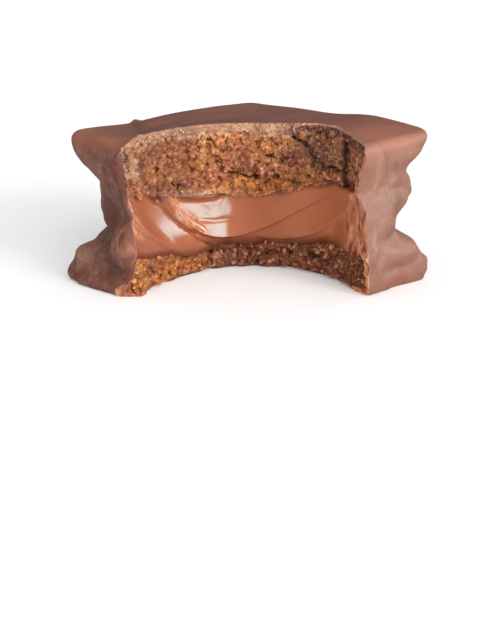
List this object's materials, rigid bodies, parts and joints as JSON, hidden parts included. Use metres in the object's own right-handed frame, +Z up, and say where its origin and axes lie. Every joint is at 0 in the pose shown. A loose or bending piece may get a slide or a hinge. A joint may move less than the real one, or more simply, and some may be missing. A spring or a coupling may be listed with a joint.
{
  "type": "alfajor",
  "caption": "Square chocolate-dipped sandwich biscuit with a thick cream filling and one corner bitten away, showing its layers.",
  "frame": {"origin": "under the middle of the biscuit, on the surface that it rests on", "axes": "+Z up; the sides face +X, -X, +Y and -Y, and the bitten corner is the one between +X and -Y"},
  "size_m": [0.0565, 0.0582, 0.0331],
  "materials": {
    "milk_chocolate": "satin milk chocolate",
    "cocoa_biscuit": "dry open crumb",
    "hazelnut_cream": "glossy soft cream"
  },
  "bodies": {
    "root": {"coating": "milk_chocolate", "biscuit_lid": "cocoa_biscuit", "cream": "hazelnut_cream", "biscuit_base": "cocoa_biscuit"}
  },
  "joints": []
}
